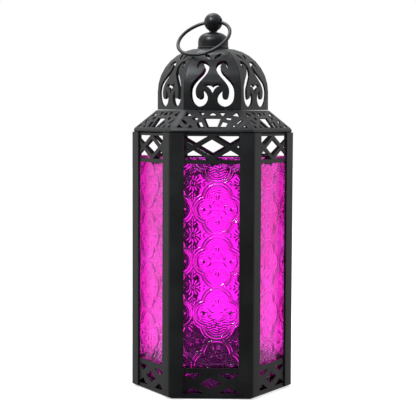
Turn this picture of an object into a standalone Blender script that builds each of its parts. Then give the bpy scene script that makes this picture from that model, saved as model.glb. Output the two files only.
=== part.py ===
"""Hexagonal candle lantern of pierced sheet metal and pressed glass.

Six bent corner posts stand round a pressed tray and hold five fixed side panels and a door. A pierced
cornice and a dome of six curved petals close the top, where a ball finial carries a swinging ring.
Face 0 looks along -Y, face k is turned k * 60 degrees about Z, and the door is face 3. Metres, +Z up.
"""

from math import atan2, cos, hypot, pi, radians, sin, sqrt, tan

import bmesh
import bpy
from mathutils import Matrix, Vector

MM = 0.001
FACES = 6
STEP = 2 * pi / FACES
TAN30 = tan(STEP / 2)
COS30 = cos(STEP / 2)
DOOR_FACE = 3
FIXED_FACES = (0, 1, 2, 4, 5)

# Sheet metal and the gap that stands for each touching or soldered joint
SHEET = 0.8 * MM
CLIP_SHEET = 0.75 * SHEET
GAP = 0.3 * MM

# Walls
SIDE = 56.0 * MM  # side of the hexagon over the posts
WALL_FOOT = 1.3 * MM
WALL_TOP = 177.4 * MM
POST_LEG = 9.6 * MM
DOOR_POST_LEG = 4.5 * MM
POST_BEND = 2.4 * MM
PANEL_DROP = 0.6 * MM  # panel top below post top
REVEAL = 0.2 * MM  # opening edge hidden behind a post leg
PANEL_SIDE_GAP = 0.2 * MM

# Bands of the pierced panels, from the top down
TOP_BORDER = 2.2 * MM
UPPER_BAND = 15.6 * MM
UPPER_BAR = 2.6 * MM
LOWER_BAR = 3.6 * MM
LOWER_BAND = 13.6 * MM
BOTTOM_BORDER = 2.5 * MM

# Lattice of crossed bars: where they cross, how steep they are, and their upright thickness
LATTICE_CROSSING = 0.66  # of the opening's half width
UPPER_LEAN = 0.46  # of the band height, from a crossing to the middle of the face
LOWER_LEAN = 0.49
UPPER_STRIP = 3.3 * MM
LOWER_STRIP = 5.3 * MM

# Glass
GLASS = 2.5 * MM
PANE_MARGIN = 5.0 * MM  # fixed pane's side from the corner of the hexagon
PANE_TOP_LAP = 1.6 * MM  # fixed panes stand this far above the upper bar
DOOR_PANE_MARGIN = 8.5 * MM
DOOR_PANE_INSET = 0.8 * MM  # door pane ends this far inside the lattices' near edges
CLIP_HALF = 4.25 * MM
CLIP_TONGUE = 7.2 * MM
CLIP_POINT = 0.7  # of the tongue, where its point begins
CLIP_HOOK = 6.0 * MM

# Tray
TRAY_FLANGE = 3.3 * MM
CURB_HEIGHT = 6.0 * MM
CURB_FOOT = 5.4 * MM
TRAY_CLEARANCE = 0.1 * MM  # between the tray's flange and the glass
CANDLE_REST = 0.3 * MM  # raised middle of the tray

# Cornice
CORNICE_LAP = 1.2 * MM
CORNICE_RIM = 2.2 * MM  # folded rim above the wall top
CORNICE_RISE = 12.8 * MM
CORNICE_BEND = 3.0 * MM
CORNICE_RUN = 13.7 * MM  # from the wall panels in to the ledge
LEDGE_DEPTH = 2.8 * MM

# Dome
LEDGE_REVEAL = 0.6 * MM
DOME_STRAIGHT = 12.3 * MM
DOME_RISE = 30.0 * MM
DOME_EYE = 7.4 * MM  # apothem left open at the top
DOME_STEPS = 8

# Crown, finial and ring
CAP_BRIM = 11.0 * MM
CAP_WALL = 10.4 * MM
CAP_HEIGHT = 10.9 * MM
CAP_STRAIGHT = 4.6 * MM
CAP_FULLNESS = 0.8  # below 1 the bell is fuller than an ellipse
STUD = 2.0 * MM
STUD_HOLE = 2.3 * MM
COLLAR = 2.9 * MM
BALL = 6.4 * MM
BALL_RISE = 6.7 * MM  # ball centre above the cap
WIRE = 1.2 * MM
RING = 18.5 * MM
RING_HOLE = 2.1 * MM
RING_TURN = radians(-27)
RING_REST = radians(50)  # lean on a dome of this apothem, and more on a wider one
RING_DOME = 33.0974 * MM
WASHER = 10.0 * MM
WASHER_THICK = 1.2 * MM
NUT_HALF = 3.5 * MM
NUT_THICK = 3.2 * MM

# Door furniture
DOOR_MARGIN = 1.0 * MM  # door's side from the corner of the hexagon
DOOR_CLEARANCE = 0.7 * MM  # above the wall foot and below the wall top
BARREL = 1.9 * MM
PIN = 0.95 * MM
PIN_HEAD = 1.5 * MM
PIN_CROWN = 0.4 * MM
RUNNING = 0.1 * MM
LEAF_WIDTH = 8.5 * MM
HINGE_HEIGHT = 24.0 * MM
HINGE_INSET = 34.0 * MM  # hinge centres from the door's ends
LATCH_SHAFT = 1.0 * MM
LATCH_MARGIN = 6.6 * MM
CAM_LENGTH = 4.2 * MM
CAM_HALF = 1.6 * MM
CAM_THICK = 1.0 * MM
KNOB_RADIUS = 4.2 * MM
KNOB_THICK = 1.2 * MM
GRIP_HEIGHT = 3.0 * MM
GRIP_HALF = 0.9 * MM
RETAINER_HEAD = 13.4 * MM
RETAINER_FOOT = 30.9 * MM
RETAINER_STILE = 9.3 * MM

# Worked out from the sizes above
POST_FACE = SIDE * COS30
PANEL_FACE = POST_FACE - SHEET - GAP
PANEL_BACK = PANEL_FACE - SHEET
PANEL_TOP = WALL_TOP - PANEL_DROP
OPENING_HALF = SIDE / 2 - POST_LEG + REVEAL
UPPER_TOP = WALL_TOP - TOP_BORDER
UPPER_FOOT = UPPER_TOP - UPPER_BAND
WINDOW_TOP = UPPER_FOOT - UPPER_BAR
LOWER_FOOT = WALL_FOOT + BOTTOM_BORDER
LOWER_TOP = LOWER_FOOT + LOWER_BAND
WINDOW_FOOT = LOWER_TOP + LOWER_BAR
GLASS_SETBACK = 2 * SHEET + GAP + TRAY_CLEARANCE  # from a panel's face to its glass
PANE_FACE = PANEL_FACE - GLASS_SETBACK
PANE_BACK = PANE_FACE - GLASS
PANE_HALF = SIDE / 2 - PANE_MARGIN
DOOR_PANE_HALF = SIDE / 2 - DOOR_PANE_MARGIN
PANE_FOOT = SHEET + GAP
PANE_TOP = UPPER_FOOT + PANE_TOP_LAP
LAP_FACE = PANEL_BACK - GAP  # what laps behind the panels: the tray's flange and the cornice
DOOR_FACE_OUT = POST_FACE + GAP + SHEET
DOOR_PANE_FACE = DOOR_FACE_OUT - GLASS_SETBACK
DOOR_PANE_FOOT = TRAY_FLANGE + GAP + CLIP_SHEET + GAP
DOOR_PANE_TOP = UPPER_FOOT - DOOR_PANE_INSET
RIM_LEVEL = WALL_TOP + CORNICE_RIM
LEDGE_LEVEL = RIM_LEVEL + CORNICE_RISE
LEDGE_APOTHEM = PANEL_FACE - CORNICE_RUN
DOME_APOTHEM = LEDGE_APOTHEM - LEDGE_REVEAL
DOME_FOOT = LEDGE_LEVEL + GAP
DOME_SPRING = DOME_FOOT + DOME_STRAIGHT
DOME_TOP = DOME_SPRING + DOME_RISE
CAP_FOOT = DOME_TOP + GAP
CAP_TOP = CAP_FOOT + CAP_HEIGHT
BALL_LEVEL = CAP_TOP + BALL_RISE
RING_LEAN = RING_REST * DOME_APOTHEM / RING_DOME
RING_OFFSET = RING - (RING - sqrt(RING**2 - BALL**2)) / 2  # hole axis to ring centre
DOOR_HALF = SIDE / 2 - DOOR_MARGIN
LATCH_OFFSET = SIDE / 2 - LATCH_MARGIN
BARREL_OUT = DOOR_FACE_OUT + GAP + BARREL
BARREL_SIDE = (POST_FACE + GAP + BARREL - BARREL_OUT * sin(STEP / 2)) / COS30


# ---------------------------------------------------------------- scene and materials


def clear_scene():
    for obj in list(bpy.data.objects):
        bpy.data.objects.remove(obj, do_unlink=True)


def new_collection(name):
    collection = bpy.data.collections.new(name)
    bpy.context.scene.collection.children.link(collection)
    return collection


def new_material(name, colour, metallic, roughness, transmission=0.0):
    made = bpy.data.materials.new(name)
    made.use_nodes = True
    shader = made.node_tree.nodes["Principled BSDF"]
    shader.inputs["Base Color"].default_value = (*colour, 1.0)
    shader.inputs["Metallic"].default_value = metallic
    shader.inputs["Roughness"].default_value = roughness
    shader.inputs["Transmission Weight"].default_value = transmission
    return made


def add_part(name, mesh, material, turn=0.0, smooth=False):
    """A mesh modelled in a face's own frame becomes one part, turned to its face."""
    mesh.materials.clear()
    mesh.materials.append(material)
    if smooth:
        mesh.shade_smooth()
        mesh.set_sharp_from_angle(angle=radians(30))
    part = bpy.data.objects.new(name, mesh)
    part.rotation_euler = (0, 0, turn)
    PARTS.objects.link(part)
    return part


def add_axis(name, location, turn=0.0):
    """An empty on a joint's axis, the parent of what moves about it."""
    axis = bpy.data.objects.new(name, None)
    axis.location = location
    axis.rotation_euler = (0, 0, turn)
    axis.empty_display_size = 5 * MM
    PARTS.objects.link(axis)
    bpy.context.view_layer.update()
    return axis


def hang_on(axis, parts):
    for part in parts:
        part.parent = axis
        part.matrix_parent_inverse = axis.matrix_world.inverted()


def combine(part, helper_mesh, name, operation="DIFFERENCE"):
    """Cuts a helper mesh, given in the part's own frame, out of a part, or joins it on."""
    helper = bpy.data.objects.new(name, helper_mesh)
    helper.parent = part
    helper.hide_render = True
    helper.display_type = "WIRE"
    CUTTERS.objects.link(helper)
    change = part.modifiers.new(name, "BOOLEAN")
    change.operation = operation
    change.object = helper


# ---------------------------------------------------------------- mesh tools


def finished(bm, name):
    bmesh.ops.recalc_face_normals(bm, faces=bm.faces)
    mesh = bpy.data.meshes.new(name)
    bm.to_mesh(mesh)
    bm.free()
    return mesh


def evaluated_mesh(holder):
    """The mesh of an object's curve or modifiers; the object itself is removed."""
    bpy.context.scene.collection.objects.link(holder)
    graph = bpy.context.evaluated_depsgraph_get()
    mesh = bpy.data.meshes.new_from_object(holder.evaluated_get(graph))
    bpy.data.objects.remove(holder, do_unlink=True)
    return mesh


def flat_sheet(outlines, thickness):
    """A flat sheet as a bmesh, z from 0 to its thickness: its edge, then its holes.

    The curve is filled in millimetres, because filling rounds small shapes.
    """
    curve = bpy.data.curves.new("outline", "CURVE")
    curve.dimensions = "2D"
    curve.fill_mode = "BOTH"
    curve.extrude = thickness / 2 / MM
    for outline in outlines:
        spline = curve.splines.new("POLY")
        spline.points.add(len(outline) - 1)
        spline.use_cyclic_u = True
        for point, (x, y) in zip(spline.points, outline):
            point.co = (x / MM, y / MM, 0, 1)
    mesh = evaluated_mesh(bpy.data.objects.new("outline", curve))
    bm = bmesh.new()
    bm.from_mesh(mesh)
    bmesh.ops.remove_doubles(bm, verts=bm.verts, dist=0.001)
    bmesh.ops.scale(bm, vec=(MM, MM, MM), verts=bm.verts)
    bmesh.ops.translate(bm, vec=(0, 0, thickness / 2), verts=bm.verts)
    return bm


def extruded(name, outlines, low, high):
    """An outline in the XY plane, raised from low to high."""
    bm = flat_sheet(outlines, high - low)
    bmesh.ops.translate(bm, vec=(0, 0, low), verts=bm.verts)
    return finished(bm, name)


def upright(name, outlines, face, thickness):
    """A flat sheet standing in a face's frame, its outer side at the apothem `face`."""
    bm = flat_sheet(outlines, thickness)
    for vert in bm.verts:
        across, height, depth = vert.co
        vert.co = (across, depth - face, height)
    return finished(bm, name)


def folded(name, outlines, path, thickness, mitred=False):
    """A flat pattern (across, along) folded over a path of (apothem, height) of its outer side.

    With mitred, its inner side narrows so that its edges stay on the hexagon's mitre planes.
    """
    bm = flat_sheet(outlines, thickness)
    lengths = [0.0]
    for (r0, z0), (r1, z1) in zip(path, path[1:]):
        lengths.append(lengths[-1] + hypot(r1 - r0, z1 - z0))
    for length in lengths[1:-1]:
        everything = bm.verts[:] + bm.edges[:] + bm.faces[:]
        bmesh.ops.bisect_plane(bm, geom=everything, dist=1e-7, plane_co=(0, length, 0), plane_no=(0, 1, 0))
    outward = path_normals(path)
    for vert in bm.verts:
        across, along, depth = vert.co
        k = max(i for i in range(len(path) - 1) if i == 0 or lengths[i] <= along + 1e-7)
        part = min((along - lengths[k]) / (lengths[k + 1] - lengths[k]), 1.0)
        outer = path_point(path, k, part)
        inner = outer - depth * outward[k].lerp(outward[k + 1], part)
        narrowing = (inner.x * TAN30 - GAP / 2) / (outer.x * TAN30 - GAP / 2) if mitred else 1.0
        vert.co = (across * narrowing, -inner.x, inner.y)
    return finished(bm, name)


def path_point(path, k, part):
    return Vector(path[k]).lerp(Vector(path[k + 1]), part)


def path_normals(path):
    """Outward offsets at a path's points, lengthened at folds so that the sheet keeps its thickness."""
    sides = []
    for (r0, z0), (r1, z1) in zip(path, path[1:]):
        sides.append(Vector((z1 - z0, r0 - r1)).normalized())
    offsets = [sides[0]]
    for before, after in zip(sides, sides[1:]):
        offsets.append((before + after) / (1 + before.dot(after)))
    return offsets + [sides[-1]]


def turned(name, profile, steps, closed=True):
    """A profile of (radius, height) turned about Z; an open one starts and ends on the axis."""
    count = len(profile)
    edges = [(i, (i + 1) % count) for i in range(count if closed else count - 1)]
    outline = bpy.data.meshes.new("profile")
    outline.from_pydata([(r, 0, z) for r, z in profile], edges, [])
    holder = bpy.data.objects.new("profile", outline)
    screw = holder.modifiers.new("Turn", "SCREW")
    screw.steps = screw.render_steps = steps
    screw.use_merge_vertices = True
    screw.merge_threshold = 0.000001
    bm = bmesh.new()
    bm.from_mesh(evaluated_mesh(holder))
    bmesh.ops.remove_doubles(bm, verts=bm.verts, dist=0.000001)
    return finished(bm, name)


def hex_turned(name, profile, closed=True):
    """A profile of (apothem, height) carried round the hexagon, with its corners on the posts."""
    return turned(name, [(r / COS30, z) for r, z in profile], FACES, closed)


def thickened(path, thickness):
    """The closed section of a sheet whose outer side follows a path."""
    offsets = path_normals(path)
    inner = [Vector(p) - thickness * n for p, n in zip(path, offsets)]
    return list(path) + [tuple(p) for p in reversed(inner)]


def arc(centre, radius, start, end, steps):
    """Points on an arc, from angle start to angle end."""
    turns = [start + (end - start) * i / steps for i in range(steps + 1)]
    return [(centre[0] + radius * cos(t), centre[1] + radius * sin(t)) for t in turns]


def rectangle(left, right, low, high):
    return [(left, low), (right, low), (right, high), (left, high)]


def mirrored(points):
    return [(-across, along) for across, along in points]


def both_sides(outlines):
    return outlines + [mirrored(points) for points in outlines]


def clipped(points, limit):
    """The part of an outline where across <= limit."""
    kept = []
    for (x0, y0), (x1, y1) in zip(points, points[1:] + points[:1]):
        if x0 <= limit:
            kept.append((x0, y0))
        if (x0 < limit) != (x1 < limit) and x0 != x1:
            kept.append((limit, y0 + (y1 - y0) * (limit - x0) / (x1 - x0)))
    return kept


def smooth_line(points, steps):
    """A Catmull-Rom line through points of any dimension."""
    ends = [points[0], *points, points[-1]]
    line = []
    for i in range(len(points) - 1):
        a, b, c, d = (Vector(p) for p in ends[i : i + 4])
        for k in range(steps):
            t = k / steps
            square = (2 * a - 5 * b + 4 * c - d) * t**2
            cube = (3 * b - a - 3 * c + d) * t**3
            line.append(0.5 * (2 * b + (c - a) * t + square + cube))
    return line + [Vector(points[-1])]


def stroke(spine, steps):
    """The outline of a brush stroke along a spine of (across, along, width)."""
    line = smooth_line(spine, steps)
    left, right = [], []
    for i, point in enumerate(line):
        before, after = line[max(i - 1, 0)], line[min(i + 1, len(line) - 1)]
        side = Vector((before.y - after.y, after.x - before.x)).normalized() * point.z / 2
        left.append((point.x + side.x, point.y + side.y))
        right.append((point.x - side.x, point.y - side.y))
    return left + right[::-1]


# ---------------------------------------------------------------- walls


def lattice(low, high, lean, strip):
    """Openings between two crossings of bars, in a band of a panel."""
    middle = (low + high) / 2
    crossing = LATTICE_CROSSING * OPENING_HALF
    slope = lean * (high - low) / crossing
    rise = ((high - low) - strip) / 2
    reach = rise / slope
    side = crossing + strip / 2 / slope
    beyond = 2 * OPENING_HALF - side
    height = slope * crossing - strip / 2
    above = [(crossing, middle + strip / 2), (crossing + reach, high), (crossing - reach, high)]
    below = [(crossing, middle - strip / 2), (crossing - reach, low), (crossing + reach, low)]
    rise = beyond * slope
    beside = [(side, middle), (side + beyond, middle - rise), (side + beyond, middle + rise)]
    reach = height / slope
    diamond = [(reach, middle), (0, middle + height), (-reach, middle), (0, middle - height)]
    return both_sides([clipped(points, OPENING_HALF) for points in (above, below, beside)]) + [diamond]


def panel_openings():
    window = rectangle(-OPENING_HALF, OPENING_HALF, WINDOW_FOOT, WINDOW_TOP)
    upper = lattice(UPPER_FOOT, UPPER_TOP, UPPER_LEAN, UPPER_STRIP)
    lower = lattice(LOWER_FOOT, LOWER_TOP, LOWER_LEAN, LOWER_STRIP)
    return [window] + upper + lower


def add_side_panels():
    half = PANEL_BACK * TAN30 - PANEL_SIDE_GAP
    outline = rectangle(-half, half, WALL_FOOT, PANEL_TOP)
    mesh = upright("side_panel", [outline] + panel_openings(), PANEL_FACE, SHEET)
    for number, face in enumerate(FIXED_FACES, 1):
        add_part(f"side_panel_{number}", mesh, WALL_PAINT, face * STEP)


def post_section(leg_up, leg_down):
    """A bent angle at the hexagon's +X corner; leg_up runs towards +Y and leg_down towards -Y."""
    centre = (SIDE - POST_BEND / COS30, 0)
    outer = arc(centre, POST_BEND, -STEP / 2, STEP / 2, 4)
    inner = arc(centre, POST_BEND - SHEET, STEP / 2, -STEP / 2, 4)
    ends = []
    for leg, sign in ((leg_up, 1), (leg_down, -1)):
        along = Vector((-sin(STEP / 2), sign * COS30))
        normal = Vector((COS30, sign * sin(STEP / 2)))
        outer_end = Vector((SIDE, 0)) + leg * along
        ends += [tuple(outer_end), tuple(outer_end - SHEET * normal)]
    return outer + ends[:2] + inner + [ends[3], ends[2]]


def add_corner_posts():
    """Posts 2 and 3 stand beside the door and keep a narrow leg there."""
    for number in range(FACES):
        leg_up = DOOR_POST_LEG if number == 1 else POST_LEG
        leg_down = DOOR_POST_LEG if number == 2 else POST_LEG
        mesh = extruded("corner_post", [post_section(leg_up, leg_down)], WALL_FOOT, WALL_TOP)
        add_part(f"corner_post_{number + 1}", mesh, WALL_PAINT, number * STEP)


def add_base():
    bend = SHEET
    inner = LAP_FACE - SHEET
    tray = [(0, 0), (LAP_FACE - bend, 0), (LAP_FACE, bend), (LAP_FACE, TRAY_FLANGE)]
    foot = SHEET + GAP
    face = PANE_BACK - GAP
    rest = face - CURB_FOOT - GAP
    tray += [(inner, TRAY_FLANGE), (inner, SHEET), (rest, SHEET), (rest, SHEET + CANDLE_REST)]
    tray.append((0, SHEET + CANDLE_REST))
    add_part("base_tray", hex_turned("base_tray", tray, closed=False), WALL_PAINT)
    curb = [(face, foot), (face, CURB_HEIGHT), (face - SHEET, CURB_HEIGHT), (face - SHEET, foot + SHEET)]
    curb += [(face - CURB_FOOT, foot + SHEET), (face - CURB_FOOT, foot)]
    add_part("glass_curb", hex_turned("glass_curb", curb), WALL_PAINT)


# ---------------------------------------------------------------- glass


def clip_mesh(name, pane_face, pane_end, backing=0.0, upward=1):
    """A spring clip folded over a pane's end and what backs it, its pointed tongue before the pane."""
    front = pane_face + GAP + CLIP_SHEET
    back = pane_face - GLASS - backing - GAP - CLIP_SHEET
    level = pane_end + upward * (GAP + CLIP_SHEET)
    path = [(front, level - upward * CLIP_TONGUE), (front, level)]
    path += [(back, level), (back, level - upward * CLIP_HOOK)]
    length = CLIP_TONGUE + (front - back) + CLIP_HOOK
    pattern = [(0, 0), (CLIP_HALF, CLIP_TONGUE * CLIP_POINT), (CLIP_HALF, length), (-CLIP_HALF, length)]
    pattern += [(-CLIP_HALF, CLIP_TONGUE * CLIP_POINT)]
    if upward > 0:
        return folded(name, [pattern], path, CLIP_SHEET)
    bm = bmesh.new()
    bm.from_mesh(clip_mesh(name, pane_face, -pane_end, backing))
    bmesh.ops.scale(bm, vec=(1, 1, -1), verts=bm.verts)
    return finished(bm, name)


def add_panes():
    outline = rectangle(-PANE_HALF, PANE_HALF, PANE_FOOT, PANE_TOP)
    pane = upright("glass_pane", [outline], PANE_FACE, GLASS)
    clip = clip_mesh("glass_clip", PANE_FACE, PANE_TOP)
    for number, face in enumerate(FIXED_FACES, 1):
        add_part(f"glass_pane_{number}", pane, MAGENTA_GLASS, face * STEP)
        add_part(f"glass_clip_{number}", clip, WALL_PAINT, face * STEP)


# ---------------------------------------------------------------- cornice

# One half of the pattern on a slope of the cornice: across as a share of the half width at that
# height, and along as a share of the slope, from the rim up
CORNICE_TRIANGLE = [(0.600, 0.735), (0.840, 0.910), (0.840, 0.655)]
CORNICE_POINT = [(0.225, 0.890), (0.310, 0.685), (0.450, 0.890)]
CORNICE_DASH = [(0.405, 0.635), (0.598, 0.600), (0.525, 0.470), (0.420, 0.500)]
CORNICE_SLIT = [(0.648, 0.330), (0.840, 0.535), (0.867, 0.455), (0.695, 0.250)]
CORNICE_BLOCK = [(0.296, 0.415), (0.432, 0.355), (0.340, 0.090), (0.190, 0.090)]
CORNICE_TOOTH = [(0.466, 0.090), (0.570, 0.250), (0.618, 0.090)]
CORNICE_CORNER = [(0.720, 0.090), (0.870, 0.270), (0.888, 0.090)]
CORNICE_HALVES = [CORNICE_TRIANGLE, CORNICE_POINT, CORNICE_DASH, CORNICE_SLIT, CORNICE_BLOCK]
CORNICE_HALVES += [CORNICE_TOOTH, CORNICE_CORNER]
CORNICE_KEY = [(0.118, 0.090), (0.250, 0.585), (-0.250, 0.585), (-0.118, 0.090)]
CORNICE_MOON = [(0.120, 0.730), (0.090, 0.840), (0.0, 0.896), (-0.090, 0.840), (-0.120, 0.730)]


def cornice_path():
    """Lap behind the panels, joggle, folded rim, slope, and the ledge for the dome."""
    rim = Vector((PANEL_FACE, RIM_LEVEL))
    ledge = Vector((LEDGE_APOTHEM, LEDGE_LEVEL))
    slope = (ledge - rim).normalized()
    turn = atan2(-slope.x, slope.y)
    tangent = CORNICE_BEND * tan(turn / 2)
    centre = (PANEL_FACE - CORNICE_BEND, RIM_LEVEL - tangent)
    joggle = LAP_FACE - PANEL_FACE
    path = [(LAP_FACE, PANEL_TOP - CORNICE_LAP), (LAP_FACE, PANEL_TOP + GAP / 2)]
    path += [(PANEL_FACE, PANEL_TOP + GAP / 2 - joggle)]
    path += arc(centre, CORNICE_BEND, 0, turn, 3)
    return path + [tuple(ledge), (LEDGE_APOTHEM - LEDGE_DEPTH, LEDGE_LEVEL)], rim, ledge


def slope_cutter(rim, ledge):
    """Prisms through all six slopes, square to each."""
    length = (ledge - rim).length
    depth = 3 * SHEET
    along = Vector((0, rim.x - ledge.x, ledge.y - rim.y)).normalized()
    normal = Vector((0, -along.z, along.y))
    start = Vector((0, -rim.x, rim.y))
    bm = bmesh.new()
    for outline in both_sides(CORNICE_HALVES) + [CORNICE_KEY, CORNICE_MOON]:
        points = [(x * (rim.x + (ledge.x - rim.x) * y) * TAN30, y * length) for x, y in outline]
        prism = flat_sheet([points], 2 * depth)
        for vert in prism.verts:
            x, y, z = vert.co
            vert.co = start + Vector((x, 0, 0)) + y * along + (z - depth) * normal
        piece = finished(prism, "prism")
        bm.from_mesh(piece)
    first = bm.verts[:] + bm.edges[:] + bm.faces[:]
    for face in range(1, FACES):
        copy = bmesh.ops.duplicate(bm, geom=first)
        verts = [item for item in copy["geom"] if isinstance(item, bmesh.types.BMVert)]
        bmesh.ops.rotate(bm, cent=(0, 0, 0), matrix=Matrix.Rotation(face * STEP, 3, "Z"), verts=verts)
    return finished(bm, "cornice_openings")


def add_cornice():
    path, rim, ledge = cornice_path()
    cornice = add_part("cornice", hex_turned("cornice", thickened(path, SHEET)), WALL_PAINT)
    combine(cornice, slope_cutter(rim, ledge), "cornice_openings")


# ---------------------------------------------------------------- dome

# One half of the pattern on a petal, in millimetres: across and up along the curve, then width
SCROLL = (
    (10.25, 28.2, 0.5), (9.3, 31.6, 2.0), (7.4, 33.4, 2.4), (4.9, 32.3, 2.8), (3.7, 29.2, 3.1),
    (5.0, 25.3, 3.3), (7.9, 21.8, 3.4), (10.9, 18.4, 3.8), (12.9, 14.7, 4.0), (13.2, 10.6, 4.0),
    (12.4, 7.3, 4.3), (10.8, 5.4, 4.8), (8.5, 4.7, 5.4), (6.1, 5.9, 5.0), (5.0, 8.4, 3.8),
    (5.7, 11.2, 2.0), (6.7, 13.2, 0.5),
)
LEAF = ((1.2, 35.5, 0.4), (2.6, 37.9, 2.3), (4.2, 39.9, 2.4), (5.9, 42.0, 0.4))
WING = ((0, 11.0), (1.3, 13.6), (2.9, 15.1), (4.5, 15.7), (6.1, 15.9))
WING += ((4.8, 17.1), (3.2, 17.5), (1.5, 17.1), (0, 16.0))
PATTERN_SIDE = 38.2  # millimetres, the dome's side for which the pattern is drawn
PATTERN_LENGTH = 55.8  # millimetres, the length of its curve


def dome_path():
    span = DOME_APOTHEM - DOME_EYE
    path = [(DOME_APOTHEM, DOME_FOOT)]
    for i in range(DOME_STEPS + 1):
        turn = pi / 2 * i / DOME_STEPS
        path.append((DOME_EYE + span * cos(turn), DOME_SPRING + DOME_RISE * sin(turn)))
    return path


def add_petals():
    path = dome_path()
    along = [0.0]
    for (r0, z0), (r1, z1) in zip(path, path[1:]):
        along.append(along[-1] + hypot(r1 - r0, z1 - z0))
    edge = [(r * TAN30 - GAP / 2, s) for (r, _), s in zip(path, along)]
    wide = DOME_APOTHEM / COS30 / PATTERN_SIDE
    tall = along[-1] / PATTERN_LENGTH
    scroll = [(x * wide, y * tall, width * MM) for x, y, width in SCROLL]
    leaf = [(x * wide, y * tall, width * MM) for x, y, width in LEAF]
    bird = [(x * wide, y * tall) for x, y in WING + tuple(mirrored(WING[-2:0:-1]))]
    openings = both_sides([stroke(scroll, 2), stroke(leaf, 3)]) + [bird]
    mesh = folded("dome_petal", [edge + mirrored(edge)[::-1]] + openings, path, SHEET, mitred=True)
    for face in range(FACES):
        add_part(f"dome_petal_{face + 1}", mesh, DOME_PAINT, face * STEP, smooth=True)


# ---------------------------------------------------------------- crown and ring


def cap_path():
    """The outer side of a bell with a flared brim, up to the hole for the stud."""
    shoulder = CAP_HEIGHT - CAP_STRAIGHT
    steps = 8
    path = [(CAP_BRIM, CAP_FOOT), (CAP_WALL, CAP_FOOT + SHEET)]
    for i in range(steps):
        turn = pi / 2 * i / steps
        level = CAP_FOOT + CAP_STRAIGHT + shoulder * sin(turn)
        path.append((CAP_WALL * cos(turn) ** CAP_FULLNESS, level))
    path = [(r, z) for r, z in path if r > STUD_HOLE + SHEET]
    return path + [(STUD_HOLE, CAP_TOP)]


def add_crown():
    cap = turned("crown_cap", thickened(cap_path(), SHEET), 32)
    add_part("crown_cap", cap, CROWN_PAINT, smooth=True)
    seat = DOME_TOP - SHEET - GAP
    washer = [(STUD_HOLE, seat - WASHER_THICK), (WASHER, seat - WASHER_THICK), (WASHER, seat - SHEET / 2)]
    washer += [(STUD_HOLE, seat)]
    add_part("crown_washer", turned("crown_washer", washer, 24), CROWN_PAINT, smooth=True)
    nut_top = seat - WASHER_THICK - GAP
    hexagon = arc((0, 0), NUT_HALF / COS30, 0, 2 * pi, FACES)[:-1]
    hole = arc((0, 0), STUD_HOLE, 0, 2 * pi, 16)[:-1]
    nut = extruded("crown_nut", [hexagon, hole], nut_top - NUT_THICK, nut_top)
    add_part("crown_nut", nut, CROWN_PAINT)
    return nut_top - NUT_THICK


def add_finial(nut_foot):
    """Stud, collar and ball in one piece, drilled across for the ring."""
    collar_foot = CAP_TOP + GAP
    start = -pi / 2 + atan2(COLLAR, sqrt(BALL**2 - COLLAR**2))
    profile = [(0, nut_foot - MM), (STUD, nut_foot - MM), (STUD, collar_foot), (COLLAR, collar_foot)]
    profile += arc((0, BALL_LEVEL), BALL, start, pi / 2, 12)
    profile[-1] = (0, BALL_LEVEL + BALL)
    body = turned("finial_ball", profile, 28, closed=False)
    finial = add_part("finial_ball", body, CROWN_PAINT, smooth=True)
    bm = bmesh.new()
    drill = {"radius1": RING_HOLE, "radius2": RING_HOLE, "depth": 4 * BALL}
    bmesh.ops.create_cone(bm, cap_ends=True, segments=20, **drill)
    bmesh.ops.rotate(bm, cent=(0, 0, 0), matrix=Matrix.Rotation(pi / 2, 3, "Y"), verts=bm.verts)
    bmesh.ops.rotate(bm, cent=(0, 0, 0), matrix=Matrix.Rotation(RING_TURN, 3, "Z"), verts=bm.verts)
    bmesh.ops.translate(bm, vec=(0, 0, BALL_LEVEL), verts=bm.verts)
    combine(finial, finished(bm, "ring_hole"), "ring_hole")


def add_ring():
    """A closed wire ring through the ball, its origin on the hole's axis, leaning on the dome."""
    segments = {"major_segments": 48, "minor_segments": 10}
    bpy.ops.mesh.primitive_torus_add(major_radius=RING, minor_radius=WIRE, **segments)
    ring = bpy.context.active_object
    for owner in list(ring.users_collection):
        owner.objects.unlink(ring)
    mesh = ring.data
    bpy.data.objects.remove(ring, do_unlink=True)
    mesh.transform(Matrix.Translation((0, 0, -RING_OFFSET)) @ Matrix.Rotation(pi / 2, 4, "X"))
    mesh.update()
    part = add_part("carrying_ring", mesh, RING_PAINT, smooth=True)
    part.location = (0, 0, BALL_LEVEL)
    part.rotation_euler = (-RING_LEAN, 0, RING_TURN)


# ---------------------------------------------------------------- door


def leaf_section(way, inward):
    """A hinge leaf seen along its axis: a strip that runs `way` from a barrel, along its inner side."""
    edge = BARREL - SHEET
    joint = atan2(edge, sqrt(BARREL**2 - edge**2))
    outline = [(LEAF_WIDTH, BARREL), (LEAF_WIDTH, edge)] + arc((0, 0), BARREL, joint, -1.5 * pi, 16)
    hole = arc((0, 0), PIN + RUNNING, 0, 2 * pi, 16)[:-1]
    return [[tuple(x * way + y * inward) for x, y in points] for points in (outline, hole)]


def knuckle_gaps(spans):
    """Boxes round the barrel that make room for the other leaf's knuckles."""
    bm = bmesh.new()
    reach = 2 * (BARREL + GAP)
    for low, high in spans:
        size = Matrix.Diagonal((reach, reach, high - low, 1))
        place = Matrix.Translation((0, 0, (low + high) / 2)) @ size
        bmesh.ops.create_cube(bm, size=1, matrix=place)
    return finished(bm, "knuckle_gap")


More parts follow.
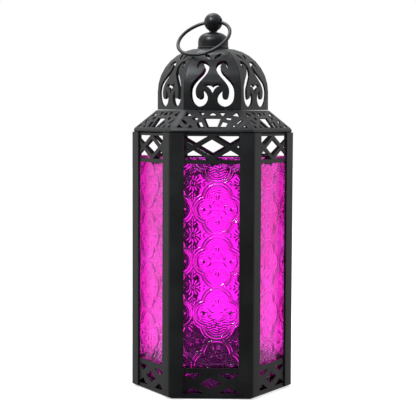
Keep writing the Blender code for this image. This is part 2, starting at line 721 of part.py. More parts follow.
def add_hinge(name, level):
    """Two leaves with three knuckles and a headed pin; the middle knuckle is the door leaf's."""
    half = HINGE_HEIGHT / 2
    knuckle = HINGE_HEIGHT / 6
    turn = DOOR_FACE * STEP
    outer_gaps = [(-half - GAP, -knuckle + GAP / 2), (knuckle - GAP / 2, half + GAP)]
    middle_gap = [(-knuckle - GAP / 2, knuckle + GAP / 2)]
    door_leaf = leaf_section(Vector((-1, 0)), Vector((0, 1)))
    post_leaf = leaf_section(Vector((sin(STEP / 2), COS30)), Vector((-COS30, sin(STEP / 2))))
    parts = []
    for side, section, gaps in (("door", door_leaf, outer_gaps), ("post", post_leaf, middle_gap)):
        leaf_name = f"{name}_{side}_leaf"
        parts.append(add_part(leaf_name, extruded(leaf_name, section, -half, half), HINGE_PAINT, turn))
        combine(parts[-1], knuckle_gaps(gaps), f"{leaf_name}_gap")
    head = half + GAP
    profile = [(0, -half), (PIN, -half), (PIN, head), (PIN_HEAD, head), (PIN_HEAD, head + SHEET)]
    profile += [(0, head + SHEET + PIN_CROWN)]
    pin = turned(f"{name}_pin", profile, 12, closed=False)
    parts.append(add_part(f"{name}_pin", pin, HINGE_PAINT, turn, smooth=True))
    for part in parts:
        part.location = in_door_face(BARREL_SIDE, BARREL_OUT, level)
    return parts[0]


def in_door_face(across, out, level):
    return Matrix.Rotation(DOOR_FACE * STEP, 3, "Z") @ Vector((across, -out, level))


def add_latch(level):
    """A turn knob outside the door and the cam that it turns behind the post's narrow leg."""
    cam_face = POST_FACE - SHEET - GAP - DOOR_FACE_OUT
    inner_end = cam_face - CAM_THICK - GAP
    profile = [(0, inner_end), (LATCH_SHAFT, inner_end), (LATCH_SHAFT, GAP), (KNOB_RADIUS, GAP)]
    profile += [(KNOB_RADIUS, KNOB_THICK), (KNOB_RADIUS - SHEET / 2, GAP + KNOB_THICK)]
    profile.append((0, GAP + KNOB_THICK))
    disc = turned("latch_knob", profile, 24, closed=False)
    knob = add_part("latch_knob", disc, HINGE_PAINT, smooth=True)
    grip = bmesh.new()
    size = Matrix.Diagonal((2 * GRIP_HALF, 2 * KNOB_RADIUS - 2 * SHEET, GRIP_HEIGHT, 1))
    place = Matrix.Translation((0, 0, KNOB_THICK + GRIP_HEIGHT / 2))
    bmesh.ops.create_cube(grip, size=1, matrix=place @ size)
    combine(knob, finished(grip, "latch_grip"), "latch_grip", "UNION")
    corner = CAM_HALF / 2
    outline = arc((0, 0), CAM_HALF, 0, pi, 8)
    outline += [(-CAM_HALF, corner - CAM_LENGTH), (corner - CAM_HALF, -CAM_LENGTH)]
    outline += [(CAM_HALF - corner, -CAM_LENGTH), (CAM_HALF, corner - CAM_LENGTH)]
    hole = arc((0, 0), LATCH_SHAFT + RUNNING, 0, 2 * pi, 12)[:-1]
    plate = extruded("latch_cam", [outline, hole], cam_face - CAM_THICK, cam_face)
    cam = add_part("latch_cam", plate, HINGE_PAINT)
    for part in (knob, cam):
        part.location = in_door_face(-LATCH_OFFSET, DOOR_FACE_OUT, level)
        part.rotation_euler = (pi / 2, 0, DOOR_FACE * STEP)
    return [knob, cam]


def retainer_mesh():
    """A three-sided strip behind the door's pane, open on the latch side."""
    half, foot, head = DOOR_PANE_HALF, DOOR_PANE_FOOT, DOOR_PANE_TOP
    inner, low, high = half - RETAINER_STILE, foot + RETAINER_FOOT, head - RETAINER_HEAD
    outline = [(half, foot), (half, head), (-half, head), (-half, high)]
    outline += [(inner, high), (inner, low), (-half, low), (-half, foot)]
    return upright("door_retainer", [outline], DOOR_PANE_FACE - GLASS - GAP, CLIP_SHEET)


def add_door():
    low = WALL_FOOT + DOOR_CLEARANCE
    high = WALL_TOP - DOOR_CLEARANCE
    turn = DOOR_FACE * STEP
    latch_level = (WINDOW_FOOT + WINDOW_TOP) / 2
    shaft_hole = arc((-LATCH_OFFSET, latch_level), LATCH_SHAFT + RUNNING, 0, 2 * pi, 12)[:-1]
    outlines = [rectangle(-DOOR_HALF, DOOR_HALF, low, high)] + panel_openings() + [shaft_hole]
    pane = rectangle(-DOOR_PANE_HALF, DOOR_PANE_HALF, DOOR_PANE_FOOT, DOOR_PANE_TOP)
    backing = GAP + CLIP_SHEET
    foot_clip = clip_mesh("door_clip_low", DOOR_PANE_FACE, DOOR_PANE_FOOT, backing, -1)
    pieces = (
        ("door_panel", upright("door_panel", outlines, DOOR_FACE_OUT, SHEET), WALL_PAINT),
        ("door_glass", upright("door_glass", [pane], DOOR_PANE_FACE, GLASS), MAGENTA_GLASS),
        ("door_retainer", retainer_mesh(), WALL_PAINT),
        ("door_clip_top", clip_mesh("door_clip_top", DOOR_PANE_FACE, DOOR_PANE_TOP, backing), WALL_PAINT),
        ("door_clip_low", foot_clip, WALL_PAINT),
    )
    door = [add_part(name, mesh, material, turn) for name, mesh, material in pieces]
    door.append(add_hinge("lower_hinge", low + HINGE_INSET))
    door.append(add_hinge("upper_hinge", high - HINGE_INSET))
    axis = add_axis("door_axis", in_door_face(BARREL_SIDE, BARREL_OUT, 0))
    hang_on(axis, door + add_latch(latch_level))


def build():
    add_base()
    add_corner_posts()
    add_side_panels()
    add_panes()
    add_cornice()
    add_petals()
    add_finial(add_crown())
    add_ring()
    add_door()


clear_scene()
PARTS = new_collection("candle_lantern")
CUTTERS = new_collection("cutters")
WALL_PAINT = new_material("black_wall_paint", (0.016, 0.017, 0.018), 0.0, 0.42)
DOME_PAINT = new_material("black_dome_paint", (0.018, 0.019, 0.022), 0.0, 0.38)
CROWN_PAINT = new_material("black_crown_paint", (0.018, 0.018, 0.020), 0.0, 0.45)
RING_PAINT = new_material("black_ring_paint", (0.020, 0.020, 0.022), 0.0, 0.40)
HINGE_PAINT = new_material("black_hinge_paint", (0.016, 0.016, 0.017), 0.0, 0.45)
MAGENTA_GLASS = new_material("magenta_glass", (0.85, 0.01, 0.55), 0.0, 0.08, transmission=1.0)
build()
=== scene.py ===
"""Looks of the candle lantern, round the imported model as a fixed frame."""

from math import cos, pi, radians, sin

import bmesh
import bpy
import numpy as np
from mathutils import Matrix, Vector


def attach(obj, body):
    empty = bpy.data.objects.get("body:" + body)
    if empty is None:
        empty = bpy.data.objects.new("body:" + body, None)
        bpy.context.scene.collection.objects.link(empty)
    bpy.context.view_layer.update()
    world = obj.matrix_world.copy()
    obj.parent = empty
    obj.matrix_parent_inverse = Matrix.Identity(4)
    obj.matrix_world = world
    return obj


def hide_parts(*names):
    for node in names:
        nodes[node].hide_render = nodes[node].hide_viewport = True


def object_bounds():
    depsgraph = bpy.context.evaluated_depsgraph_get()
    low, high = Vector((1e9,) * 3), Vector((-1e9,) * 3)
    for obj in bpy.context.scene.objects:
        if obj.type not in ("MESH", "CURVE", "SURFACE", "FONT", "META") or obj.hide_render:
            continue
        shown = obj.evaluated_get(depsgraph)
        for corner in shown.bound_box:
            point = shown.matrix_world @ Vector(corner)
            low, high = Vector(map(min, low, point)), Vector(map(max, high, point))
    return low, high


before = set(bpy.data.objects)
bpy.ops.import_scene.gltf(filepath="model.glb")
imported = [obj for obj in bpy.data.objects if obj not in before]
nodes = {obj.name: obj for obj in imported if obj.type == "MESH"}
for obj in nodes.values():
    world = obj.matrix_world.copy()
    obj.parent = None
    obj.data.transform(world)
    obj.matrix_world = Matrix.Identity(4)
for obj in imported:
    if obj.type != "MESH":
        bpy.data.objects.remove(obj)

MM = 0.001
STEP = pi / 3  # from one face of the hexagon to the next
cad_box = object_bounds()
scene = bpy.context.scene


# ---------------------------------------------------------------- camera, floor and lights

CAMERA_PLACE = Vector((8.88, -941.54, 188.43)) * MM
CAMERA_YAW, CAMERA_PITCH, CAMERA_ROLL = radians(-0.724), radians(3.874), radians(0.271)
LENS, SENSOR = 117.47, 36

WHITE = (1, 1, 1)
COOL = (0.9, 0.95, 1.0)  # light from above, a little blue beside the white walls
LIGHTS = (  # name, place, aim, width and height, watts, colour
    ("key", (-0.42, -0.5, 0.8), (0, 0, 0.21), (0.22, 0.22), 4.6, COOL),
    ("left", (-1.1, 0.25, 0.35), (0, 0, 0.12), (0.5, 1.0), 1.0, WHITE),
    ("right", (1.1, 0.2, 0.4), (0, 0, 0.12), (0.5, 1.0), 0.9, WHITE),
    ("front top", (-0.1, -0.75, 0.95), (0, 0, 0.18), (0.7, 0.12), 1.3, COOL),
    ("top", (-0.25, 0.45, 1.25), (0, 0, 0.2), (0.7, 0.7), 5.0, COOL),
)

BACKGROUND = 1.0  # brightness of the world as the camera sees it
BEHIND_GLASS = 1.2  # and as it is seen through a pane
DEPTH_SPAN, DEPTH_LIGHT = (-0.9, 0.9), (0.05, 0.5)  # light on the metal, from the front to the back
HEIGHT_SPAN, HEIGHT_LIGHT = (-0.3, 1.0), (-0.1, 0.5)  # and what height adds to it

FLOOR_HALF = 4.0
FLOOR_DROP = 0.2 * MM
FLOOR_TONE = (0.92, 0.92, 0.92)
FLOOR_GLOW = 0.62  # lifts the floor to the white of the background


def add_camera():
    yaw, pitch, roll = CAMERA_YAW, CAMERA_PITCH, CAMERA_ROLL
    ahead = Vector((sin(yaw) * cos(pitch), cos(yaw) * cos(pitch), -sin(pitch)))
    right = Vector((cos(yaw), -sin(yaw), 0))
    up = right.cross(ahead)
    across = right * cos(roll) + up * sin(roll)
    over = up * cos(roll) - right * sin(roll)
    data = bpy.data.cameras.new("camera")
    data.lens = LENS
    data.sensor_width = SENSOR
    camera = bpy.data.objects.new("camera", data)
    axes = Matrix((across, over, -ahead)).transposed()
    camera.matrix_world = Matrix.Translation(CAMERA_PLACE) @ axes.to_4x4()
    scene.collection.objects.link(camera)
    scene.camera = camera


def add_light(name, place, target, size, power, colour):
    data = bpy.data.lights.new(name, "AREA")
    data.shape = "RECTANGLE"
    data.size, data.size_y = size
    data.energy = power
    data.color = colour
    light = bpy.data.objects.new(name, data)
    light.location = place
    aim = Vector(target) - Vector(place)
    light.rotation_mode = "QUATERNION"
    light.rotation_quaternion = aim.to_track_quat("-Z", "Y")
    light.visible_camera = False
    light.visible_transmission = False
    scene.collection.objects.link(light)


def add_world():
    """A white studio. The camera sees plain white and a pane shows it a little brighter, and what lights the
    metal is weaker towards the front and the floor."""
    world = bpy.data.worlds.new("studio")
    world.use_nodes = True
    scene.world = world
    tree = world.node_tree
    tree.nodes.clear()
    put, link = tree.nodes.new, tree.links.new

    def background(strength):
        node = put("ShaderNodeBackground")
        node.inputs["Color"].default_value = (*WHITE, 1)
        node.inputs["Strength"].default_value = strength
        return node

    def gradient(source, span, strengths):
        node = put("ShaderNodeMapRange")
        node.inputs["From Min"].default_value, node.inputs["From Max"].default_value = span
        node.inputs["To Min"].default_value, node.inputs["To Max"].default_value = strengths
        link(source, node.inputs["Value"])
        return node.outputs[0]

    split = put("ShaderNodeSeparateXYZ")
    link(put("ShaderNodeTexCoord").outputs["Generated"], split.inputs[0])
    total = put("ShaderNodeMath")
    total.operation = "ADD"
    link(gradient(split.outputs["Y"], DEPTH_SPAN, DEPTH_LIGHT), total.inputs[0])
    link(gradient(split.outputs["Z"], HEIGHT_SPAN, HEIGHT_LIGHT), total.inputs[1])
    lit = background(0)
    link(total.outputs[0], lit.inputs["Strength"])

    path = put("ShaderNodeLightPath")
    glazed, seen = put("ShaderNodeMixShader"), put("ShaderNodeMixShader")
    link(path.outputs["Is Transmission Ray"], glazed.inputs[0])
    link(lit.outputs[0], glazed.inputs[1])
    link(background(BEHIND_GLASS).outputs[0], glazed.inputs[2])
    link(path.outputs["Is Camera Ray"], seen.inputs[0])
    link(glazed.outputs[0], seen.inputs[1])
    link(background(BACKGROUND).outputs[0], seen.inputs[2])
    link(seen.outputs[0], put("ShaderNodeOutputWorld").inputs["Surface"])


def add_floor():
    bm = bmesh.new()
    bmesh.ops.create_grid(bm, x_segments=8, y_segments=8, size=FLOOR_HALF)
    mesh = bpy.data.meshes.new("floor")
    bm.to_mesh(mesh)
    bm.free()
    floor = bpy.data.objects.new("floor", mesh)
    floor.location.z = cad_box[0].z - FLOOR_DROP
    scene.collection.objects.link(floor)
    material = bpy.data.materials.new("floor")
    material.use_nodes = True
    shader = material.node_tree.nodes["Principled BSDF"]
    shader.inputs["Base Color"].default_value = (*FLOOR_TONE, 1)
    shader.inputs["Roughness"].default_value = 0.85
    shader.inputs["Specular IOR Level"].default_value = 0.1
    shader.inputs["Emission Color"].default_value = (*WHITE, 1)
    shader.inputs["Emission Strength"].default_value = FLOOR_GLOW
    mesh.materials.append(material)
    floor.visible_glossy = False


def add_studio():
    scene.view_settings.view_transform = "Standard"
    scene.view_settings.look = "None"
    add_world()
    add_floor()
    for light in LIGHTS:
        add_light(*light)


# ---------------------------------------------------------------- materials

# Scales of the noises in the paint
PATCH, SPECK, PEEL, FINE_PEEL = 38, 900, 170, 1500
PEEL_DEPTH, FINE_PEEL_DEPTH = 0.12 * MM, 0.025 * MM
WORN, THICK = 0.72, 1.55  # of the paint's tone, where it is rubbed thin and where it lies thick
LYING = 0.35  # upward share of the normal where dust begins to lie
DUST_COLOUR = (0.11, 0.11, 0.115)
PAINT_TONE = (0.0072, 0.0075, 0.008)

# Scales of the noises in the glass
STREAK, CLOUDING, SKIN = 45, 260, 420
SKIN_DEPTH = 0.06 * MM
GLASS_IOR = 1.5


class Nodes:
    """A material's node tree, filled from short calls."""

    def __init__(self, name):
        self.material = bpy.data.materials.new(name)
        self.material.use_nodes = True
        self.tree = self.material.node_tree
        self.shader = self.tree.nodes["Principled BSDF"]
        self.place = self.put("ShaderNodeTexCoord").outputs["Object"]

    def put(self, kind, **settings):
        node = self.tree.nodes.new(kind)
        for key, value in settings.items():
            setattr(node, key, value)
        return node

    def link(self, source, target):
        self.tree.links.new(source, target)

    def noise(self, scale, detail=3.0, roughness=0.5, stretch=(1, 1, 1)):
        mapping = self.put("ShaderNodeMapping")
        mapping.inputs["Scale"].default_value = stretch
        self.link(self.place, mapping.inputs["Vector"])
        node = self.put("ShaderNodeTexNoise")
        node.inputs["Scale"].default_value = scale
        node.inputs["Detail"].default_value = detail
        node.inputs["Roughness"].default_value = roughness
        self.link(mapping.outputs[0], node.inputs["Vector"])
        return node.outputs["Fac"]

    def spread(self, value, low, high, to_low, to_high):
        node = self.put("ShaderNodeMapRange")
        sockets = ("From Min", "From Max", "To Min", "To Max")
        for socket, number in zip(sockets, (low, high, to_low, to_high)):
            node.inputs[socket].default_value = number
        self.link(value, node.inputs["Value"])
        return node.outputs[0]

    def ramp(self, value, stops):
        """Each stop is (position, colour)."""
        node = self.put("ShaderNodeValToRGB")
        elements = node.color_ramp.elements
        while len(elements) < len(stops):
            elements.new(0.5)
        for element, (position, colour) in zip(elements, stops):
            element.position = position
            element.color = (*colour, 1)
        self.link(value, node.inputs[0])
        return node.outputs["Color"]

    def math(self, operation, *values):
        node = self.put("ShaderNodeMath", operation=operation)
        for socket, value in zip(node.inputs, values):
            if isinstance(value, (int, float)):
                socket.default_value = value
            else:
                self.link(value, socket)
        return node.outputs[0]

    def bump(self, layers):
        """Each layer is (height, depth in metres)."""
        normal = None
        for height, depth in layers:
            node = self.put("ShaderNodeBump")
            node.inputs["Strength"].default_value = 1.0
            node.inputs["Distance"].default_value = depth
            self.link(height, node.inputs["Height"])
            if normal is not None:
                self.link(normal, node.inputs["Normal"])
            normal = node.outputs["Normal"]
        self.link(normal, self.shader.inputs["Normal"])


def bulge(n, fullness):
    """Height, in metres, of petals pressed a little fuller across than the flat sheets they are cut from."""
    split = n.put("ShaderNodeSeparateXYZ")
    n.link(n.place, split.inputs[0])
    x, y = split.outputs["X"], split.outputs["Y"]
    turns = n.math("DIVIDE", n.math("ARCTAN2", x, n.math("MULTIPLY", y, -1.0)), STEP)
    local = n.math("MULTIPLY", n.math("SUBTRACT", turns, n.math("ROUND", turns)), STEP)
    radius = n.math("SQRT", n.math("ADD", n.math("MULTIPLY", x, x), n.math("MULTIPLY", y, y)))
    across = n.math("MULTIPLY", radius, n.math("SINE", local))
    return n.math("MULTIPLY", n.math("MULTIPLY", across, across), -fullness)


def black_paint(name, tone=PAINT_TONE, rough=(0.36, 0.5), dust=0.18, gloss=0.5, fullness=0.0):
    """Black paint over sheet metal, with a fine orange peel, rubbed patches and a little dust on top."""
    n = Nodes(name)
    cloud = n.noise(PATCH, 5, 0.6)
    speck = n.noise(SPECK, 2, 0.6)
    thin = tuple(WORN * c for c in tone)
    thick = tuple(THICK * c for c in tone)
    paint = n.ramp(cloud, [(0.32, thin), (0.52, tone), (0.72, thick)])
    split = n.put("ShaderNodeSeparateXYZ")
    n.link(n.put("ShaderNodeNewGeometry").outputs["Normal"], split.inputs[0])
    lying = n.spread(split.outputs["Z"], LYING, 1.0, 0.0, 1.0)
    grain = n.spread(speck, 0.42, 0.75, 0.0, 1.0)
    mix = n.put("ShaderNodeMix", data_type="RGBA")
    n.link(n.math("MULTIPLY", n.math("MULTIPLY", lying, grain), dust), mix.inputs["Factor"])
    n.link(paint, mix.inputs["A"])
    mix.inputs["B"].default_value = (*DUST_COLOUR, 1)
    n.link(mix.outputs["Result"], n.shader.inputs["Base Color"])
    n.link(n.spread(cloud, 0.3, 0.7, *rough), n.shader.inputs["Roughness"])
    n.shader.inputs["Specular IOR Level"].default_value = gloss
    layers = [(n.noise(PEEL), PEEL_DEPTH), (n.noise(FINE_PEEL, 2), FINE_PEEL_DEPTH)]
    if fullness:
        layers.insert(0, (bulge(n, fullness), 1.0))
    n.bump(layers)
    return n.material


def magenta_glass(name, deep, tint, pale):
    """Clear coloured glass, streaked between three tints."""
    n = Nodes(name)
    streak = n.noise(STREAK, 4, 0.55, (1, 1, 0.6))
    colour = n.ramp(streak, [(0.3, deep), (0.5, tint), (0.7, pale)])
    n.link(colour, n.shader.inputs["Base Color"])
    n.link(n.spread(n.noise(CLOUDING, 2), 0.35, 0.7, 0.015, 0.06), n.shader.inputs["Roughness"])
    n.shader.inputs["Transmission Weight"].default_value = 1.0
    n.shader.inputs["IOR"].default_value = GLASS_IOR
    n.bump([(n.noise(SKIN, 3, 0.6), SKIN_DEPTH)])
    return n.material


# ---------------------------------------------------------------- pressed pattern, in millimetres

PITCH_ACROSS, PITCH_UP = 32.7, 34.7  # from a medallion to the next
SIDE_LOBE_OUT, SIDE_LOBE_RADIUS = 7.3, 8.0
END_LOBE_OUT, END_LOBE_RADIUS = 7.4, 9.0
OUTLINE_GAP = 1.9  # between a medallion's two outlines
FIELD_INSET = 0.9  # from the inner outline to the field inside it
MEDALLION_REACH = 2.4  # outside the inner outline
FLOWER_START = 2.2
LOBE_ARCS = (1.7, 3.2, 4.7)  # inside the outline of a top or bottom lobe
STIPPLE = 1.15
RIPPLE = 1.7
STAR_RADIUS = 3.1
STAR_REPEAT = 4
FLOWER_RADIUS = 3.6
PETALS = 13
SPRAY = (5.6, 11.5)  # start and end of a flower's leaf spray
LEAVES = (7.4, 9.7)  # places along a spray, each with a leaf on both sides
HIGHEST = 0.95  # share of the relief that the pattern may reach


def ridge(distance, width, height):
    return height * np.exp(-((distance / width) ** 2))


def band(distance, width, height):
    """A flat-topped ridge with steep sides."""
    return height * np.exp(-((distance / width) ** 4))


def drop(u, v, place, size, height, turn=0.0):
    """A rounded lump with half sizes along and across, turned about its place."""
    x, y = u - place[0], v - place[1]
    along, across = x * cos(turn) + y * sin(turn), y * cos(turn) - x * sin(turn)
    return height * np.exp(-((along / size[0]) ** 2 + (across / size[1]) ** 2) ** 1.5)


def quatrefoil_distance(u, v):
    """Distance from the four-lobed outline, and from its side and end lobes. It is negative inside."""
    sides = np.hypot(abs(u) - SIDE_LOBE_OUT, v) - SIDE_LOBE_RADIUS
    ends = np.hypot(u, abs(v) - END_LOBE_OUT) - END_LOBE_RADIUS
    return np.minimum(sides, ends), sides, ends


def medallion_star(u, v):
    """Four rays round a boss, with two pods, two teardrops and eight small leaves."""
    radius, angle = np.hypot(u, v), np.arctan2(v, u)
    rays = np.maximum(np.cos(STAR_REPEAT * angle), 0) ** 2
    h = 0.42 * rays * np.exp(-(((radius - STAR_RADIUS) / 1.9) ** 2)) + ridge(radius, 1.0, 0.5)
    for sign in (-1, 1):
        h = h + drop(u, v, (sign * 10.0, 0), (1.5, 0.9), 0.85)
        h = h + drop(u, v, (sign * 6.6, 0), (2.2, 0.5), 0.25)
        h = h + drop(u, v, (0, sign * 8.4), (1.1, 1.9), 0.7)
        for other in (-1, 1):
            h = h + drop(u, v, (sign * 3.2, other * 5.2), (0.8, 1.5), 0.4, sign * other * 0.5)
            h = h + drop(u, v, (sign * 5.9, other * 2.1), (1.8, 0.7), 0.4, sign * other * 0.7)
    return h


def medallion(u, v):
    """Raised medallion about (0, 0): two outlines, arcs, a stippled and rippled field, and a star."""
    foil, sides, ends = quatrefoil_distance(u, v)
    inside = foil < -FIELD_INSET
    in_end = inside & (abs(v) > 6.0) & (abs(v) > abs(u))
    in_side = inside & (abs(u) > 5.6) & ~in_end
    h = band(foil, 0.62, 0.8) + band(foil - OUTLINE_GAP, 0.5, 0.55)
    for inset in LOBE_ARCS:
        h = h + np.where(in_end, ridge(ends + inset, 0.34, 0.24), 0)
    stipple = np.cos(2 * pi * u / STIPPLE) * np.cos(2 * pi * v / STIPPLE)
    h = h + np.where(in_side & (sides < -1.2), 0.3 * np.maximum(stipple, 0), 0)
    h = h + np.where(in_side, ridge(sides + 1.5, 0.32, 0.22), 0)
    ripple = np.cos(2 * pi * (v + 0.6 * np.sin(0.9 * u)) / RIPPLE)
    swell = np.clip(-foil / 3 - 0.4, 0, 1)
    h = h + np.where(inside & (np.hypot(u, v) > 4.5), 0.13 * (1 + ripple) * swell, 0)
    return h + medallion_star(u, v)


def flower(u, v):
    """Rosette about (0, 0) with a leaf spray towards each of its four neighbours."""
    radius, angle = np.hypot(u, v), np.arctan2(v, u)
    petals = (0.5 + 0.5 * np.cos(PETALS * angle)) ** 2
    h = 0.42 * petals * np.exp(-(((radius - FLOWER_RADIUS) / 1.7) ** 4))
    h = h + ridge(radius - 1.5, 0.4, 0.4) + ridge(radius, 0.6, 0.5)
    for turn in (0, pi / 2, pi, 3 * pi / 2):
        c, s = cos(turn), sin(turn)
        x, y = u * c + v * s, v * c - u * s
        h = h + np.where((x > SPRAY[0]) & (x < SPRAY[1]), ridge(y, 0.4, 0.35), 0)
        for along in LEAVES:
            for side in (-1, 1):
                h = h + drop(x, y, (along, side * 1.5), (1.5, 0.6), 0.42, side * 0.75)
    return h


def pattern(u, v):
    """Height of the pressed pattern, 0 to 1: medallions on a rectangular grid, and flowers between them."""
    a = (u + PITCH_ACROSS / 2) % PITCH_ACROSS - PITCH_ACROSS / 2
    b = (v + PITCH_UP / 2) % PITCH_UP - PITCH_UP / 2
    p = u % PITCH_ACROSS - PITCH_ACROSS / 2
    q = v % PITCH_UP - PITCH_UP / 2
    foil = quatrefoil_distance(a, b)[0]
    medallions = np.where(foil < MEDALLION_REACH, medallion(a, b), 0)
    flowers = np.where(foil > FLOWER_START, flower(p, q), 0)
    return np.clip(medallions + flowers, 0, HIGHEST)


# ---------------------------------------------------------------- panes, in millimetres

RELIEF_DEPTH = 1.2
SIDE_RELIEF_DEPTH = 0.42  # on the other faces, which are seen more along the glass
CELL = 0.32  # of the grid that carries the relief
WAVE = 0.03  # unevenness of the surface, as a share of the relief
FLAT_EDGE = 0.8  # width in which the relief fades out towards a pane's edge
FULL_UP_TO, SOFTER_FROM = 28, 40  # above a pane's foot
SOFTER = 0.64  # share of the relief on the upper part
GROUND = 0.04  # share of the relief that lies between the raised lines
SQUARE_ON = (0, 3)  # the front face and the door's, which the photo's camera sees square on

PANES = (  # piece, CAD node, body, face, and a medallion's centre across from the middle and above the floor
    ("pressed_glass_1", "glass_pane_1", "lantern", 0, (3.9, 22.6)),
    ("pressed_glass_2", "glass_pane_2", "lantern", 1, (-2.0, 18.9)),
    ("pressed_glass_3", "glass_pane_3", "lantern", 2, (7.0, 2.0)),
    ("pressed_glass_4", "glass_pane_4", "lantern", 4, (-9.0, 12.0)),
    ("pressed_glass_5", "glass_pane_5", "lantern", 5, (-9.0, 3.4)),
    ("pressed_glass_door", "door_glass", "door", 3, (-4.0, 6.0)),
)


def relief_surface(low, high, centre, relief_depth):
    """Grid of points on the outer side of a pane, whose corners are low and high in its face's own axes."""
    left, outer, foot = low
    right, _, top = high
    across = np.linspace(left, right, int((right - left) / CELL) + 1)
    upward = np.linspace(foot, top, int((top - foot) / CELL) + 1)
    x, z = np.meshgrid(across, upward)
    wave = WAVE * np.sin(x * 0.9 + 2.1 * np.sin(z * 0.13)) + WAVE * np.sin(z * 0.71 + x * 0.33)
    height = pattern(x - centre[0], z - centre[1]) + GROUND + wave
    edge = np.minimum(np.minimum(x - left, right - x), np.minimum(z - foot, top - z))
    height = height * np.clip(edge / FLAT_EDGE, 0, 1)
    height = height * np.interp(z - foot, (FULL_UP_TO, SOFTER_FROM), (1.0, SOFTER))
    depth = outer + relief_depth * (1 - np.clip(height, 0, 1))
    return np.stack([x, depth, z], -1)


def slab(surface, back):
    """Points and faces of a closed slab behind a grid of points, and how many of its faces are the grid's."""
    rows, columns = surface.shape[:2]
    front = surface.reshape(-1, 3)
    index = np.arange(rows * columns).reshape(rows, columns)
    quads = np.stack([index[:-1, :-1], index[:-1, 1:], index[1:, 1:], index[1:, :-1]], -1).reshape(-1, 4)
    rim = np.concatenate([index[0, :-1], index[:-1, -1], index[-1, :0:-1], index[:0:-1, 0]])
    behind = front[rim].copy()
    behind[:, 1] = back
    first, around = len(front), len(rim)
    faces = [tuple(int(corner) for corner in quad) for quad in quads]
    for i in range(around):
        after = (i + 1) % around
        faces.append((int(rim[i]), first + i, first + after, int(rim[after])))
    faces.append(tuple(first + i for i in reversed(range(around))))
    return np.concatenate([front, behind]), faces, len(quads)


def pressed_pane(name, node, body, face, centre, material, relief_depth):
    """A slab as big as its CAD pane. The pattern stands on its outer side and stays inside it."""
    turn = Matrix.Rotation(face * STEP, 3, "Z")
    corners = [turn.inverted() @ v.co / MM for v in nodes[node].data.vertices]
    low = [min(corner[axis] for corner in corners) for axis in range(3)]
    high = [max(corner[axis] for corner in corners) for axis in range(3)]
    points, faces, pressed = slab(relief_surface(low, high, centre, relief_depth), high[1])
    mesh = bpy.data.meshes.new(name)
    mesh.from_pydata((points * MM) @ np.array(turn.transposed()), [], faces)
    smooth = np.zeros(len(faces), bool)
    smooth[:pressed] = True
    mesh.polygons.foreach_set("use_smooth", smooth)
    mesh.update()
    mesh.materials.append(material)
    pane = bpy.data.objects.new(name, mesh)
    scene.collection.objects.link(pane)
    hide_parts(node)
    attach(pane, body)


def add_glass():
    glass = magenta_glass("pressed_glass", (0.93, 0.075, 0.8), (0.96, 0.1, 0.86), (0.99, 0.13, 0.91))
    # The panes that the camera sees at a slant get the same glass tinted redder and less blue: painted light,
    # for how these panes look from the side.
    painted_slant_glass = magenta_glass("slant_glass_painted_light", (0.86, 0.08, 0.58), (0.92, 0.15, 0.73), (0.97, 0.2, 0.83))
    for name, node, body, face, centre in PANES:
        material, relief_depth = (glass, RELIEF_DEPTH) if face in SQUARE_ON else (painted_slant_glass, SIDE_RELIEF_DEPTH)
        pressed_pane(name, node, body, face, centre, material, relief_depth)


# ---------------------------------------------------------------- painted metal

WELD = 0.001 * MM
BEND_LIMIT = radians(33)  # a bend under this shades smooth
BEVEL_LIMIT = radians(40)  # and an edge over this is softened, on the cornice
CORNICE_SOFTENING = 0.12 * MM
PETAL_FULLNESS = 4.0  # per metre


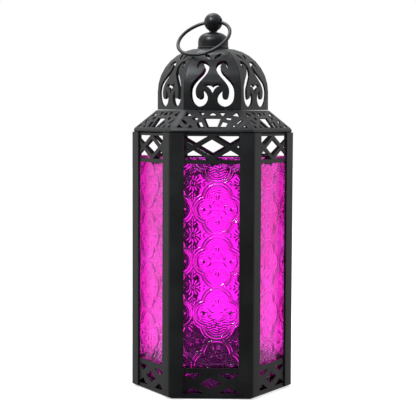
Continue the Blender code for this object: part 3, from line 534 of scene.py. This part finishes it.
def smoothing(limit):
    """A modifier group that shades a welded mesh smooth wherever it bends by less than limit."""
    group = bpy.data.node_groups.new("smooth_bends", "GeometryNodeTree")
    group.is_modifier = True
    group.interface.new_socket("Geometry", in_out="INPUT", socket_type="NodeSocketGeometry")
    group.interface.new_socket("Geometry", in_out="OUTPUT", socket_type="NodeSocketGeometry")
    put, link = group.nodes.new, group.links.new
    source, target = put("NodeGroupInput"), put("NodeGroupOutput")
    plain = put("GeometryNodeRemoveAttribute")
    plain.inputs["Name"].default_value = "custom_normal"
    whole = put("GeometryNodeSetShadeSmooth")
    angle = put("GeometryNodeInputMeshEdgeAngle")
    gentle = put("FunctionNodeCompare")
    gentle.data_type, gentle.operation = "FLOAT", "LESS_THAN"
    gentle.inputs["B"].default_value = limit
    edges = put("GeometryNodeSetShadeSmooth")
    edges.domain = "EDGE"
    link(source.outputs[0], plain.inputs["Geometry"])
    link(plain.outputs["Geometry"], whole.inputs["Geometry"])
    link(whole.outputs["Geometry"], edges.inputs["Geometry"])
    link(angle.outputs["Unsigned Angle"], gentle.inputs["A"])
    link(gentle.outputs["Result"], edges.inputs["Shade Smooth"])
    link(edges.outputs["Geometry"], target.inputs[0])
    return group


def paint_node(name, material, bends, bevel=0.0):
    node = nodes[name]
    node.data.materials.clear()
    node.data.materials.append(material)
    weld = node.modifiers.new("weld", "WELD")
    weld.merge_threshold = WELD
    if bevel:
        soft = node.modifiers.new("soft edges", "BEVEL")
        soft.width = bevel
        soft.segments = 2
        soft.limit_method = "ANGLE"
        soft.angle_limit = BEVEL_LIMIT
        soft.use_clamp_overlap = True
    node.modifiers.new("smooth bends", "NODES").node_group = bends


def add_metal():
    wall = black_paint("wall_paint")
    dome = black_paint("dome_paint", (0.0075, 0.0079, 0.009), (0.3, 0.42), fullness=PETAL_FULLNESS)
    # The pieces inside the lantern get a darker, duller copy of the black paint: painted shade, which darkens
    # what is seen through the glass.
    shaded_matt = black_paint("inner_paint_painted_shade", (0.003, 0.003, 0.003), (0.6, 0.7), dust=0.0, gloss=0.2)
    crown = black_paint("crown_paint", (0.0065, 0.0067, 0.0072), (0.3, 0.42))
    wire = black_paint("ring_paint", (0.006, 0.0062, 0.0066), (0.3, 0.42))
    hinge = black_paint("hinge_paint", (0.0072, 0.0073, 0.0078), (0.34, 0.48))
    paints = {
        "dome_petal": dome,
        "door_retainer": shaded_matt,
        "glass_curb": shaded_matt,
        "crown": crown,
        "finial": crown,
        "carrying_ring": wire,
        "upper_hinge": hinge,
        "lower_hinge": hinge,
        "latch": hinge,
    }
    bends = smoothing(BEND_LIMIT)
    glazed = {node for _, node, _, _, _ in PANES}
    for name in nodes:
        if name in glazed:
            continue
        paint = next((paints[start] for start in paints if name.startswith(start)), wall)
        paint_node(name, paint, bends, CORNICE_SOFTENING if name == "cornice" else 0.0)


add_camera()
add_studio()
add_metal()
add_glass()
